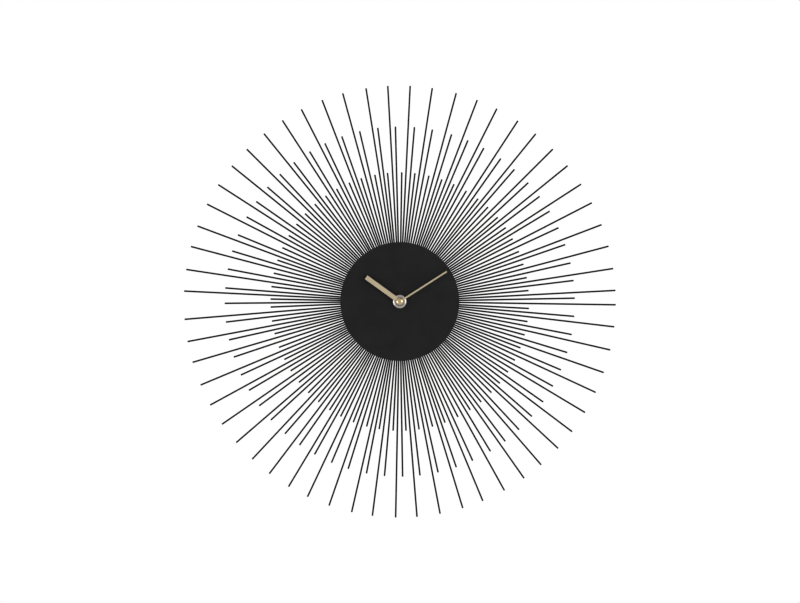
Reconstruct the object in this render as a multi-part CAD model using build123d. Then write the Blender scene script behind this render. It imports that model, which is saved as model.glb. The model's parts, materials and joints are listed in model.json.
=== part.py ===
from build123d import *
import os
import random
from math import asin, cos, radians, sin

# Sunburst wall clock: a black disc dial in front of 180 radial steel rods, gold hands, and a
# battery quartz movement behind the dial.
#
# Everything is modelled lying on its back, in millimetres, about the hand axis: X to the right of
# the dial, Y up the dial, Z out of the wall towards the reader, with the wall at Z = 0. A level
# named LOW or HIGH is a Z value. At the end each node is stood up against the wall, facing -Y, with
# the keyhole that it hangs from at the origin.

# Driving dimensions
CLOCK_R = 300.0             # tip of a long rod
MID_ROD_R = 243.2           # tip of a middle rod
SHORT_ROD_R = 179.6         # tip of a short rod
ROD_INNER_R = 74.0          # hidden end of every rod, under the dial
WIRE_D = 2.0
COAT = 0.075                # thickness of the powder coat on the wire
ROD_D = WIRE_D + 2 * COAT
ROD_COUNT = 180
ROD_END_EASE = 0.3          # rounding of a rod's cut end
LEAST_PITCH = 0.84          # closest neighbours, as a share of the even pitch
START_DRIFT = 1.0           # drift of the first rod from the even pitch, in degrees
SEAM_DRIFT = 0.6            # further drift by the time the work reaches nine o'clock
AFTER_SEAM_DRIFT = 0.35     # drift of the first rod of the last quarter
LAST_DRIFT = 0.4            # further drift over the last quarter
SCATTER = 0.22              # most that a rod's own error is, either way
SCATTER_KEPT = 0.6          # share of its neighbour's error that a rod takes over
ROD_SEED = 4
DIAL_R = 82.4
DIAL_SHEET = 1.2
DIAL_DEPTH = 6.0            # height of the turned rim
HOUR_LENGTH = 57.7
HOUR_WIDTH = 6.6
MINUTE_LENGTH = 77.3
MINUTE_WIDTH = 2.6
HOUR_ANGLE = 305.9          # clockwise from the top, at rest
MINUTE_ANGLE = 57.4
ROSETTE_R = 9.9
CAP_R = 5.2
KEYHOLE_RISE = 46.0         # keyhole centre above the hand axis

# Levels of the frame, from the wall to the dial
CASE_LOW = 3.0
SHEET = 1.5                 # thickness of the rod plate and of the brackets
CASE_WALL = 1.4
TRAIN_LOW = CASE_LOW + CASE_WALL
SPLIT_LEVEL = 17.6          # where the back case meets the front case
TRAIN_HIGH = 18.2
CASE_HIGH = 19.4
PLATE_LOW = CASE_HIGH + 1.0
PLATE_HIGH = PLATE_LOW + SHEET
ROD_LEVEL = PLATE_HIGH + ROD_D / 2
RIM_LOW = PLATE_HIGH + ROD_D
DIAL_HIGH = RIM_LOW + DIAL_DEPTH
DIAL_LOW = DIAL_HIGH - DIAL_SHEET
TUBE_HIGH = DIAL_HIGH + 3.5

# Rod plate, its rings and the studs that carry the dial
PLATE_R = 80.0
PLATE_EDGE = 0.3            # chamfer round the back of the plate
RING_WIDTH = 2.9
STUD_R = 2.0
SLEEVE_R = 4.0
STUD_WASHER_R = 5.0
BUSH_R = 8.0
GASKET_R = 14.0
DIAL_EDGE_R = 0.8           # rounding between the dial's face and its rim
STUD_CIRCLE_R = 62.0
STUD_ANGLES = (30.0, 150.0, 270.0)
STUD_LOW = 15.0
NUT_HEIGHT = 3.2
NUT_ACROSS_FLATS = 7.0
NUT_CHAMFER = 0.5
WASHER_SHEET = 0.8
BORE_GAP = 0.1              # radial gap of a ring on a stud or on the tube
HOLE_GAP = 0.15             # radial gap of a hole in sheet metal
THREAD_GAP = 0.05           # gap of a nut on its thread, or of a shaft in a plate
END_GAP = 0.2               # gap at the end of a shaft
PAST = 1.0                  # how far a cut runs on past the face that it opens

# Hanger bracket and the two lower legs
HANGER_WIDTH = 24.0
HANGER_BOTTOM = 38.0
HANGER_TOP = 60.0
FOOT_LENGTH = 10.0
KEYHOLE_R = 4.5
SLOT_R = 2.2
SLOT_RISE = 8.5
LEG_ANGLES = (225.0, 315.0)
LEG_WIDTH = 14.0
LEG_INNER_R = 49.0
LEG_BEND_R = 60.0
LEG_OUTER_R = 75.0
BUMPER_CENTRE_R = 68.0
BUMPER_R = 5.0
BUMPER_THICKNESS = 2.0
BUMPER_EASE = 0.6
BUMPER_HEAD_R = 3.1         # retaining head, in front of the leg
BUMPER_TIP_R = 1.6
BUMPER_HEAD = 2.0
LEG_CORNER_R = 3.0
FOOT_CORNER_R = 2.0
BEND_INNER_R = 0.5          # inside radius of a bend in the sheet
RIVET_R = 1.7
RIVET_HEAD_R = 3.0
RIVET_HEAD = 1.1
UPSET_R = 2.5
UPSET_TIP_R = 1.65
UPSET_HEAD = 0.9

# Movement case
CASE_HALF_WIDTH = 28.0
CASE_BOTTOM = -30.0
CASE_TOP = 26.0
CASE_CORNER_R = 3.0
CASE_EDGE_R = 0.8           # rounding of the case's back and front edges
BAY_TOP = -12.8             # top of the battery bay
TRAIN_BOTTOM = BAY_TOP + CASE_WALL
POST_CENTRES = ((-24.4, 22.4), (24.4, 22.4), (-24.4, -8.0), (24.4, -8.0))
POST_R = 2.2
POST_NECK_R = 1.6
POST_SPIGOT = 0.3           # height of a post's neck above the split
BOARD_RIBS = (-4.0, 17.0)   # lower edges of the ribs that the circuit board lies on
RIB_LEFT = -25.0
RIB_RIGHT = -14.0
RIB_WIDTH = 1.5
MID_PLATE_LOW = 10.6
MID_PLATE_HIGH = 11.6
MID_PLATE_GAP = 0.2         # gap to the case's walls
THIRD_PINION_HOLE_R = 1.35
TUBE_R = 3.95
TUBE_BORE_R = 2.62

# Battery, size AA
BATTERY_R = 7.25
BATTERY_LEFT = -24.9
BATTERY_RIGHT = 24.6
BATTERY_Y = -20.7
BATTERY_LEVEL = 10.8
NUB_R = 2.75
NUB_LENGTH = 1.1
BATTERY_EDGE_R = 0.6

# Gear teeth, as shares of the module or of the angular pitch
ADDENDUM = 0.8
DEDENDUM = 1.15
TIP_HALF = 0.09
ROOT_HALF = 0.25

# Wheels: teeth and modules
ROTOR_PINION = 12
STEP_WHEEL = 60
STEP_PINION = 10
SECONDS_WHEEL = 60
SECONDS_PINION = 8
THIRD_WHEEL = 60
THIRD_PINION = 8
CENTRE_WHEEL = 64
CANNON_PINION = 15
MINUTE_WHEEL = 45
MINUTE_PINION = 12
HOUR_WHEEL = 48
SETTING_PINION = 12
ROTOR_MODULE = 0.2
STEP_MODULE = 0.22
SECONDS_MODULE = 0.225
THIRD_MODULE = 0.2125
MOTION_MODULE = 0.28

# Directions from one axis to the next, anticlockwise from +X
THIRD_DIRECTION = 195.0
STEP_DIRECTION = 40.0
ROTOR_DIRECTION = 15.0
MINUTE_DIRECTION = 110.0
SETTING_DIRECTION = 150.0

# Levels of the train
WHEEL_SHEET = 0.8
ARBOR_TOP = MID_PLATE_HIGH - 0.3        # pivots that end in the mid plate
ROTOR_COLLAR_LOW = 5.1
MAGNET_LOW = 5.4
MAGNET_HIGH = 7.6
ROTOR_PINION_LOW = 7.8
ROTOR_PINION_HIGH = 9.0
COLLAR_LOW = 5.2
STEP_PINION_LOW = 5.6
STEP_WHEEL_LOW = 7.9
SECONDS_COLLAR_LOW = 5.3
SECONDS_WHEEL_LOW = 5.9
SECONDS_PINION_LOW = SECONDS_WHEEL_LOW + WHEEL_SHEET
SECONDS_PINION_HIGH = 8.5
SECONDS_ARBOR_HIGH = 20.0
THIRD_WHEEL_LOW = 7.3
THIRD_PINION_LOW = THIRD_WHEEL_LOW + WHEEL_SHEET
THIRD_PINION_HIGH = 13.2
CENTRE_HUB_LOW = 11.75
CENTRE_WHEEL_LOW = 12.1
CENTRE_HUB_HIGH = 13.0
CENTRE_TUBE_HIGH = 19.0
MINUTE_PIPE_LOW = 13.1
CANNON_LOW = 13.3
CANNON_HIGH = 14.9
MINUTE_WHEEL_LOW = 13.7
MINUTE_PINION_LOW = MINUTE_WHEEL_LOW + WHEEL_SHEET
MINUTE_PINION_HIGH = 16.9
HOUR_HUB_LOW = 15.2
HOUR_WHEEL_LOW = 15.5
HOUR_HUB_HIGH = TRAIN_HIGH - END_GAP
SETTING_PINION_LOW = 13.5
SETTING_PINION_HIGH = 14.7
SETTING_SHAFT_HIGH = 15.4
KNOB_LOW = 1.2
KNOB_HIGH = 2.8

# Setting knob
KNOB_TEETH = 36
KNOB_MODULE = 0.27
KNOB_DISH_OUTER_R = 3.8
KNOB_DISH_INNER_R = 1.6
KNOB_DISH = 0.4

# Arbors and hubs
PIVOT_R = 0.35
PIVOT_HOLE_R = 0.4
PIVOT_LOW = TRAIN_LOW - 0.7
PIVOT_HIGH = TRAIN_HIGH + 0.5
HOLE_LOW = TRAIN_LOW - 0.8
HOLE_HIGH = TRAIN_HIGH + 0.7
ROTOR_COLLAR_R = 0.6
STEP_COLLAR_R = 0.7
SECONDS_COLLAR_R = 0.9
THIRD_COLLAR_R = 0.6
MINUTE_COLLAR_R = 1.0
CENTRE_HUB_R = 1.6
HOUR_HUB_R = 3.4
MAGNET_R = 2.2
SECONDS_ARBOR_R = 0.42
CENTRE_BORE_R = 0.5
CENTRE_TUBE_R = 1.0
MINUTE_PIPE_BORE_R = 1.02
MINUTE_PIPE_R = 1.6
HOUR_PIPE_BORE_R = 1.68
HOUR_PIPE_R = 2.55
SETTING_SHAFT_R = 1.0
SETTING_HOLE_R = 1.06
FIT_GAP = 0.03              # radial gap of a piece pressed on its seat

# Movement screws
SCREW_R = 0.8
SCREW_HEAD_R = 1.5
SCREW_HEAD_LOW = CASE_LOW + 0.2
SCREW_HEAD_HIGH = CASE_LOW + 1.1
CROSS_SLOT = 0.35
CROSS_LENGTH = 1.8
CROSS_DEPTH = 0.8

# Circuit board, motor iron and coil, and battery contacts
BOARD_LOW = 5.2
BOARD_HIGH = 6.2
BOARD_LEFT = -26.2
BOARD_RIGHT = -12.4
BOARD_BOTTOM = -5.4
BOARD_TOP = 20.0
BOARD_CORNER_R = 1.0
CRYSTAL_AT = (-22.0, 12.0)
CRYSTAL_R = 1.0
CRYSTAL_LENGTH = 6.0
LEAD_PITCH = 0.8
LEAD_WIDTH = 0.3
LEAD_LENGTH = 2.1
LEAD_SEAT = 0.1             # length of a lead inside the can
CHIP_AT = (-18.5, 2.0)
CHIP_R = 2.25
CHIP_HEIGHT = 0.9
CHIP_EASE = 0.7
STATOR_LOW = 6.2
STATOR_HIGH = 7.2
LEG_LEFT = 2.5              # outer edge of the stator's left leg
LEG_RIGHT = 24.5
LEG_BREADTH = 3.0
POLE_LEFT = 8.6             # the broad part round the rotor
POLE_BOTTOM = 3.0
POLE_TOP = 10.6
NECK_RIGHT = 11.4
YOKE_BOTTOM = 11.4          # the bar from the neck to the left leg
YOKE_TOP = 14.4
ROTOR_HOLE_R = 2.9
COIL_Y = 17.5
CORE_HIGH = STATOR_HIGH + 1.0
CORE_HALF = 1.3
COIL_LEVEL = (STATOR_HIGH + CORE_HIGH) / 2
CONTACT_SHEET = 0.3
CONTACT_LOW = 8.0
CONTACT_HIGH = 13.0
TAB_LOW = 9.0
TAB_HIGH = 10.0
TAB_BELOW = 0.6             # reach of a tab below and above the wall over the bay
TAB_ABOVE = 0.8
STRIP_SHEET = 0.4
CONTACT_BELOW = 4.0         # reach of a contact plate below the battery's axis
CONE_R = 1.8
CONE_TIP_R = 0.8
CONE_GAP = 0.2
COIL_START = 5.9
COIL_END = 21.1
FLANGE = 0.8
BOBBIN_R = 1.75
WINDING_R = 2.5
FLANGE_R = 2.8

# Levels and sizes of the hub and hands, in front of the dial
WASHER_HIGH = DIAL_HIGH + 0.6
HOUR_LOW = TUBE_HIGH + 0.6
HOUR_HIGH = HOUR_LOW + 0.8
HOUR_PIPE_HIGH = HOUR_HIGH + 0.4
MINUTE_LOW = HOUR_HIGH + 1.4
MINUTE_HIGH = MINUTE_LOW + 0.6
MINUTE_PIPE_HIGH = MINUTE_HIGH + 1.2
HAND_BEVEL = 0.3
HOUR_BOSS_R = 4.6
HOUR_GRIP_R = 3.6
HOUR_GRIP = 0.4
MINUTE_BOSS_R = 3.8
MINUTE_GRIP_R = 2.8
MINUTE_GRIP = 0.6
TUBE_WASHER_R = 7.0
ROSETTE_SKIRT = 0.6         # straight edge under the nut's dome
ROSETTE_CREST_R = 6.4
ROSETTE_CREST = 2.7         # height of the crest above the dial
ROSETTE_GROOVE_R = 5.8
ROSETTE_GROOVE = 2.0
ROSETTE_BOSS_R = 5.2
CAP_DOME = 2.7
CAP_WALL = 0.9


def polar(radius, degrees, centre=(0.0, 0.0)):
    """The point at a radius and an anticlockwise angle from +X about a centre."""
    return (
        centre[0] + radius * cos(radians(degrees)),
        centre[1] + radius * sin(radians(degrees)),
    )


def disc(radius, low, high, at=(0.0, 0.0)):
    """A round plate or shaft between two levels."""
    return Pos(at[0], at[1], (low + high) / 2) * Cylinder(radius, high - low)


def ring(outer, inner, low, high, at=(0.0, 0.0)):
    """A flat ring or tube between two levels."""
    return disc(outer, low, high, at) - disc(inner, low - PAST, high + PAST, at)


def block(left, right, bottom, top, low, high):
    """A box between two corners."""
    centre = Pos((left + right) / 2, (bottom + top) / 2, (low + high) / 2)
    return centre * Box(right - left, top - bottom, high - low)


def turned(points):
    """A piece turned on a lathe about the Z axis from its (radius, level) outline."""
    outline = Polyline(*[(radius, 0, level) for radius, level in points], close=True)
    return revolve(make_face(outline), Axis.Z)


def gear(teeth, module, low, high, at, tooth_at):
    """A spur wheel with straight-flanked teeth and backlash, one tooth pointing at an angle."""
    pitch = 360 / teeth
    root_r = module * (teeth / 2 - DEDENDUM)
    tip_r = module * (teeth / 2 + ADDENDUM)
    corners = (
        (root_r, -ROOT_HALF),
        (tip_r, -TIP_HALF),
        (tip_r, TIP_HALF),
        (root_r, ROOT_HALF),
    )
    points = []
    for tooth in range(teeth):
        for radius, share in corners:
            points.append(polar(radius, tooth_at + (tooth + share) * pitch))
    face = make_face(Polyline(*points, close=True))
    return Pos(at[0], at[1], low) * extrude(face, high - low)


def meshing(teeth, direction):
    """Where a driven wheel's tooth points, so that a gap of it faces back along a direction."""
    return direction + 180 + 180 / teeth


# Axes of the train
CENTRE_AXIS = (0.0, 0.0)
THIRD_AXIS = polar(THIRD_MODULE * (CENTRE_WHEEL + THIRD_PINION) / 2, THIRD_DIRECTION)
STEP_AXIS = polar(STEP_MODULE * (SECONDS_WHEEL + STEP_PINION) / 2, STEP_DIRECTION)
ROTOR_AXIS = polar(
    ROTOR_MODULE * (STEP_WHEEL + ROTOR_PINION) / 2, ROTOR_DIRECTION, STEP_AXIS
)
MINUTE_AXIS = polar(MOTION_MODULE * (MINUTE_WHEEL + CANNON_PINION) / 2, MINUTE_DIRECTION)
SETTING_AXIS = polar(
    MOTION_MODULE * (MINUTE_WHEEL + SETTING_PINION) / 2, SETTING_DIRECTION, MINUTE_AXIS
)


# ---------------------------------------------------------------- rods, plate and dial

def rod_angles():
    """Clockwise angles of the rods from the top: an even pitch with the drift of hand welding.

    The rods are set quarter by quarter, so the spacing drifts a little and closes up at nine
    o'clock, where the work ends. Neighbours never come closer than the rods are wide.
    """
    pitch = 360 / ROD_COUNT
    seam = 3 * ROD_COUNT // 4
    hand = random.Random(ROD_SEED)
    angles = []
    scatter = 0.0
    for index in range(ROD_COUNT):
        scatter = SCATTER_KEPT * scatter + hand.uniform(-SCATTER, SCATTER)
        if index < seam:
            drift = START_DRIFT + SEAM_DRIFT * (index / seam) ** 3
        else:
            unset = (ROD_COUNT - index) / (ROD_COUNT - seam)
            drift = AFTER_SEAM_DRIFT + LAST_DRIFT * (1 - unset**3)
        angle = pitch * index + drift + scatter
        if angles:
            angle = max(angle, angles[-1] + LEAST_PITCH * pitch)
        angles.append(angle)
    return angles


def rods(kind):
    """The rods of one kind. They go short, long, middle round the upper half and long, short,
    middle round the lower half."""
    tips = {"short": SHORT_ROD_R, "long": CLOCK_R, "middle": MID_ROD_R}
    upper = ("short", "long", "middle")
    lower = ("long", "short", "middle")
    tip = tips[kind]
    length = tip - ROD_INNER_R
    rod = Cylinder(ROD_D / 2, length)
    rod = fillet(rod.edges().sort_by(Axis.Z)[-1], ROD_END_EASE)
    rod = Pos((tip + ROD_INNER_R) / 2, 0, ROD_LEVEL) * Rot(0, 90, 0) * rod
    placed = []
    for index, angle in enumerate(rod_angles()):
        order = lower if ROD_COUNT / 4 <= index < 3 * ROD_COUNT / 4 else upper
        if order[index % 3] == kind:
            placed.append(Rot(0, 0, 90 - angle) * rod)
    return placed


def stud_centres():
    return [polar(STUD_CIRCLE_R, angle) for angle in STUD_ANGLES]


def leg_rivets(angle):
    """Centres of the two rivets of a lower leg."""
    middle = polar((LEG_INNER_R + LEG_BEND_R) / 2, angle)
    return [polar(side * LEG_WIDTH / 4, angle + 90, middle) for side in (-1, 1)]


def hanger_rivets():
    """Centres of the four rivets of the hanger bracket."""
    rows = (HANGER_BOTTOM - FOOT_LENGTH / 2, HANGER_TOP + FOOT_LENGTH / 2)
    return [(side * HANGER_WIDTH / 3, row) for row in rows for side in (-1, 1)]


def rivet_centres():
    centres = hanger_rivets()
    for angle in LEG_ANGLES:
        centres += leg_rivets(angle)
    return centres


def rod_plate():
    """The steel plate that the rods are welded to, behind the dial."""
    plate = disc(PLATE_R, PLATE_LOW, PLATE_HIGH)
    plate = chamfer(plate.edges().sort_by(Axis.Z)[0], PLATE_EDGE)
    plate -= disc(TUBE_R + HOLE_GAP, PLATE_LOW - PAST, PLATE_HIGH + PAST)
    for centre in stud_centres():
        plate -= disc(STUD_R + HOLE_GAP, PLATE_LOW - PAST, PLATE_HIGH + PAST, centre)
    for centre in rivet_centres():
        plate -= disc(RIVET_R + FIT_GAP, PLATE_LOW - PAST, PLATE_HIGH + PAST, centre)
    return plate


def rod_stop_ring():
    """The ring that the rods' inner ends butt against."""
    return ring(ROD_INNER_R - BORE_GAP, ROD_INNER_R - RING_WIDTH, PLATE_HIGH, RIM_LOW)


def dial_disc():
    """The spun steel dial: a flat face with a turned rim."""
    pan = disc(DIAL_R, RIM_LOW, DIAL_HIGH)
    pan = fillet(pan.edges().sort_by(Axis.Z)[-1], DIAL_EDGE_R)
    pan -= disc(DIAL_R - DIAL_SHEET, RIM_LOW - PAST, DIAL_LOW)
    return pan - disc(TUBE_R + HOLE_GAP, DIAL_LOW - PAST, DIAL_HIGH + PAST)


def dial_studs():
    return [disc(STUD_R, STUD_LOW, DIAL_LOW, centre) for centre in stud_centres()]


def stud_sleeves():
    return [
        ring(SLEEVE_R, STUD_R + BORE_GAP, PLATE_HIGH, DIAL_LOW, centre)
        for centre in stud_centres()
    ]


def stud_washers():
    low = PLATE_LOW - WASHER_SHEET
    return [
        ring(STUD_WASHER_R, STUD_R + HOLE_GAP, low, PLATE_LOW, centre)
        for centre in stud_centres()
    ]


def hex_nut(low, centre):
    """A plain hexagon nut with chamfered corners, centred on a stud."""
    across_corners = NUT_ACROSS_FLATS / cos(radians(30))
    body = extrude(RegularPolygon(across_corners / 2, 6), NUT_HEIGHT)
    corner_r = across_corners / 2
    limit = turned([
        (0, 0),
        (corner_r - NUT_CHAMFER, 0),
        (corner_r, NUT_CHAMFER),
        (corner_r, NUT_HEIGHT - NUT_CHAMFER),
        (corner_r - NUT_CHAMFER, NUT_HEIGHT),
        (0, NUT_HEIGHT),
    ])
    nut = (body & limit) - disc(STUD_R + THREAD_GAP, -PAST, NUT_HEIGHT + PAST)
    return Pos(centre[0], centre[1], low) * nut


def stud_nuts():
    low = PLATE_LOW - WASHER_SHEET - NUT_HEIGHT
    return [hex_nut(low, centre) for centre in stud_centres()]


def centre_bush():
    """The spacer between the rod plate and the dial, round the movement's tube."""
    return ring(BUSH_R, TUBE_R + BORE_GAP, PLATE_HIGH, DIAL_LOW)


# ---------------------------------------------------------------- brackets behind the plate

def strap(points, width):
    """A bent strap of sheet that follows an (along, level) middle line, about X = 0."""
    line = FilletPolyline(
        *[(0, along, level) for along, level in points], radius=BEND_INNER_R + SHEET / 2
    )
    start = Plane(origin=line @ 0, x_dir=(1, 0, 0), z_dir=line % 0)
    return sweep(start * Rectangle(width, SHEET), path=line)


def hanger_bracket():
    """A hat-shaped strap riveted to the plate, with a keyhole in its crown at the wall."""
    foot = PLATE_LOW - SHEET / 2
    crown = SHEET / 2
    lower_web = HANGER_BOTTOM - SHEET / 2
    upper_web = HANGER_TOP + SHEET / 2
    hat = strap(
        [
            (HANGER_BOTTOM - FOOT_LENGTH, foot),
            (lower_web, foot),
            (lower_web, crown),
            (upper_web, crown),
            (upper_web, foot),
            (HANGER_TOP + FOOT_LENGTH, foot),
        ],
        HANGER_WIDTH,
    )
    corners = hat.edges().filter_by(Axis.Z).group_by(Axis.Y)
    hat = fillet(corners[0] + corners[-1], FOOT_CORNER_R)
    slot_top = KEYHOLE_RISE + SLOT_RISE
    hat -= disc(KEYHOLE_R, -PAST, SHEET + PAST, (0, KEYHOLE_RISE))
    hat -= disc(SLOT_R, -PAST, SHEET + PAST, (0, slot_top))
    hat -= block(-SLOT_R, SLOT_R, KEYHOLE_RISE, slot_top, -PAST, SHEET + PAST)
    for centre in hanger_rivets():
        hat -= disc(RIVET_R + FIT_GAP, foot - SHEET, PLATE_LOW + PAST, centre)
    return hat


def wall_leg(angle):
    """A Z-shaped strap that holds a bumper at the wall."""
    foot = PLATE_LOW - SHEET / 2
    pad = BUMPER_THICKNESS + SHEET / 2
    web = LEG_BEND_R - SHEET / 2
    leg = strap([(LEG_INNER_R, foot), (web, foot), (web, pad), (LEG_OUTER_R, pad)], LEG_WIDTH)
    corners = leg.edges().filter_by(Axis.Z).group_by(Axis.Y)
    leg = fillet(corners[0], FOOT_CORNER_R)
    corners = leg.edges().filter_by(Axis.Z).group_by(Axis.Y)
    leg = fillet(corners[-1], LEG_CORNER_R)
    leg = Rot(0, 0, angle - 90) * leg
    for centre in leg_rivets(angle):
        leg -= disc(RIVET_R + FIT_GAP, foot - SHEET, PLATE_LOW + PAST, centre)
    bumper_centre = polar(BUMPER_CENTRE_R, angle)
    return leg - disc(STUD_R, pad - SHEET, pad + SHEET, bumper_centre)


def wall_legs():
    return [wall_leg(angle) for angle in LEG_ANGLES]


def bracket_rivets():
    """Rivets through the brackets' feet and the plate: a domed head behind, an upset one in front."""
    foot_low = PLATE_LOW - SHEET
    ball_r = (RIVET_HEAD_R**2 + RIVET_HEAD**2) / (2 * RIVET_HEAD)
    ball = Pos(0, 0, foot_low - RIVET_HEAD + ball_r) * Sphere(ball_r)
    head = disc(RIVET_HEAD_R, foot_low - RIVET_HEAD, foot_low) & ball
    shank = disc(RIVET_R, foot_low, PLATE_HIGH)
    upset = Pos(0, 0, PLATE_HIGH + UPSET_HEAD / 2) * Cone(UPSET_R, UPSET_TIP_R, UPSET_HEAD)
    rivet = head + shank + upset
    return [Pos(x, y, 0) * rivet for x, y in rivet_centres()]


def wall_bumpers():
    """Push-in rubber bumpers: a pad at the wall, a neck and a retaining head."""
    pad_high = BUMPER_THICKNESS + SHEET
    bumpers = []
    for angle in LEG_ANGLES:
        x, y = polar(BUMPER_CENTRE_R, angle)
        bumper = turned([
            (0, 0),
            (BUMPER_R - BUMPER_EASE, 0),
            (BUMPER_R, BUMPER_EASE),
            (BUMPER_R, BUMPER_THICKNESS),
            (STUD_R - FIT_GAP, BUMPER_THICKNESS),
            (STUD_R - FIT_GAP, pad_high),
            (BUMPER_HEAD_R, pad_high),
            (BUMPER_TIP_R, pad_high + BUMPER_HEAD),
            (0, pad_high + BUMPER_HEAD),
        ])
        bumpers.append(Pos(x, y, 0) * bumper)
    return bumpers


# ---------------------------------------------------------------- movement case

def case_outline(low, high):
    """A slab of the movement's outline, with rounded corners."""
    face = RectangleRounded(2 * CASE_HALF_WIDTH, CASE_TOP - CASE_BOTTOM, CASE_CORNER_R)
    return Pos(0, (CASE_TOP + CASE_BOTTOM) / 2, low) * extrude(face, high - low)


def train_space(low, high, gap=0.0):
    """The room for the train, above the battery bay."""
    side = CASE_HALF_WIDTH - CASE_WALL - gap
    return block(-side, side, TRAIN_BOTTOM + gap, CASE_TOP - CASE_WALL - gap, low, high)


def battery_bay(low, high):
    """The room for the battery."""
    side = CASE_HALF_WIDTH - CASE_WALL
    return block(-side, side, CASE_BOTTOM + CASE_WALL, BAY_TOP, low, high)


def back_case():
    """The movement's back shell: train space open to the front, battery bay open to the back."""
    case = case_outline(CASE_LOW, SPLIT_LEVEL)
    case = fillet(case.edges().group_by(Axis.Z)[0], CASE_EDGE_R)
    case -= train_space(TRAIN_LOW, SPLIT_LEVEL + PAST)
    case -= battery_bay(CASE_LOW - PAST, SPLIT_LEVEL + PAST)
    for centre in POST_CENTRES:
        case += disc(POST_R, CASE_LOW, MID_PLATE_LOW, centre)
        case += disc(POST_NECK_R, MID_PLATE_LOW, SPLIT_LEVEL + POST_SPIGOT, centre)
    for bottom in BOARD_RIBS:
        case += block(RIB_LEFT, RIB_RIGHT, bottom, bottom + RIB_WIDTH, CASE_LOW, BOARD_LOW)
    for centre in POST_CENTRES:
        case -= disc(SCREW_R + BORE_GAP, CASE_LOW - PAST, SPLIT_LEVEL + PAST, centre)
        case -= disc(SCREW_HEAD_R + HOLE_GAP, CASE_LOW - PAST, SCREW_HEAD_HIGH, centre)
    for axis in (ROTOR_AXIS, STEP_AXIS, CENTRE_AXIS, THIRD_AXIS):
        case -= disc(PIVOT_HOLE_R, HOLE_LOW, TRAIN_LOW + PAST, axis)
    case -= disc(SETTING_HOLE_R, CASE_LOW - PAST, TRAIN_LOW + PAST, SETTING_AXIS)
    for tab in contact_tabs(gap=THREAD_GAP):
        case -= tab
    return case


def front_case():
    """The movement's front shell, with the tube that carries the clock's dial."""
    case = case_outline(SPLIT_LEVEL, CASE_HIGH)
    case = fillet(case.edges().group_by(Axis.Z)[-1], CASE_EDGE_R)
    case -= train_space(SPLIT_LEVEL - PAST, TRAIN_HIGH)
    case -= battery_bay(SPLIT_LEVEL - PAST, TRAIN_HIGH)
    case += disc(TUBE_R, CASE_HIGH, TUBE_HIGH)
    case -= disc(TUBE_BORE_R, SPLIT_LEVEL - PAST, TUBE_HIGH + PAST)
    for centre in POST_CENTRES:
        case -= disc(SCREW_R, SPLIT_LEVEL - PAST, HOLE_HIGH, centre)
    for axis in (THIRD_AXIS, MINUTE_AXIS, SETTING_AXIS):
        case -= disc(PIVOT_HOLE_R, SPLIT_LEVEL - PAST, HOLE_HIGH, axis)
    return case


def case_screws():
    """Small cross-headed screws that close the movement from the back."""
    screws = []
    cross = Box(CROSS_SLOT, CROSS_LENGTH, CROSS_DEPTH) + Box(CROSS_LENGTH, CROSS_SLOT, CROSS_DEPTH)
    for x, y in POST_CENTRES:
        screw = disc(SCREW_HEAD_R, SCREW_HEAD_LOW, SCREW_HEAD_HIGH)
        screw += disc(SCREW_R - FIT_GAP, SCREW_HEAD_HIGH, PIVOT_HIGH)
        screw -= Pos(0, 0, SCREW_HEAD_LOW) * cross
        screws.append(Pos(x, y, 0) * screw)
    return screws


def mid_plate():
    """The bridge between the stepping train and the motion work."""
    plate = train_space(MID_PLATE_LOW, MID_PLATE_HIGH, gap=MID_PLATE_GAP)
    holes = [
        (PIVOT_HOLE_R, ROTOR_AXIS),
        (PIVOT_HOLE_R, STEP_AXIS),
        (SECONDS_ARBOR_R + THREAD_GAP, CENTRE_AXIS),
        (THIRD_PINION_HOLE_R, THIRD_AXIS),
        (PIVOT_HOLE_R, MINUTE_AXIS),
        (SETTING_HOLE_R, SETTING_AXIS),
    ]
    holes += [(POST_NECK_R + THREAD_GAP, centre) for centre in POST_CENTRES]
    for radius, centre in holes:
        plate -= disc(radius, MID_PLATE_LOW - PAST, MID_PLATE_HIGH + PAST, centre)
    return plate


def rubber_gasket():
    """The rubber washer between the movement and the rod plate."""
    return ring(GASKET_R, TUBE_R + BORE_GAP, CASE_HIGH, PLATE_LOW)


# ---------------------------------------------------------------- electrical pieces

def circuit_board():
    board = block(BOARD_LEFT, BOARD_RIGHT, BOARD_BOTTOM, BOARD_TOP, BOARD_LOW, BOARD_HIGH)
    return fillet(board.edges().filter_by(Axis.Z), BOARD_CORNER_R)


def quartz_crystal():
    """The tuning-fork crystal's can, lying on the board, with its two leads."""
    x, y = CRYSTAL_AT
    can = Pos(x, y, BOARD_HIGH + CRYSTAL_R) * Rot(90, 0, 0) * Cylinder(CRYSTAL_R, CRYSTAL_LENGTH)
    lead_top = y - CRYSTAL_LENGTH / 2 + LEAD_SEAT
    for side in (-1, 1):
        middle = x + side * LEAD_PITCH / 2
        can += block(
            middle - LEAD_WIDTH / 2,
            middle + LEAD_WIDTH / 2,
            lead_top - LEAD_LENGTH,
            lead_top,
            BOARD_HIGH,
            BOARD_HIGH + LEAD_WIDTH,
        )
    return can


def driver_chip():
    """The driver chip under its drop of black resin."""
    drop = disc(CHIP_R, BOARD_HIGH, BOARD_HIGH + CHIP_HEIGHT, CHIP_AT)
    return fillet(drop.edges().sort_by(Axis.Z)[-1], CHIP_EASE)


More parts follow.
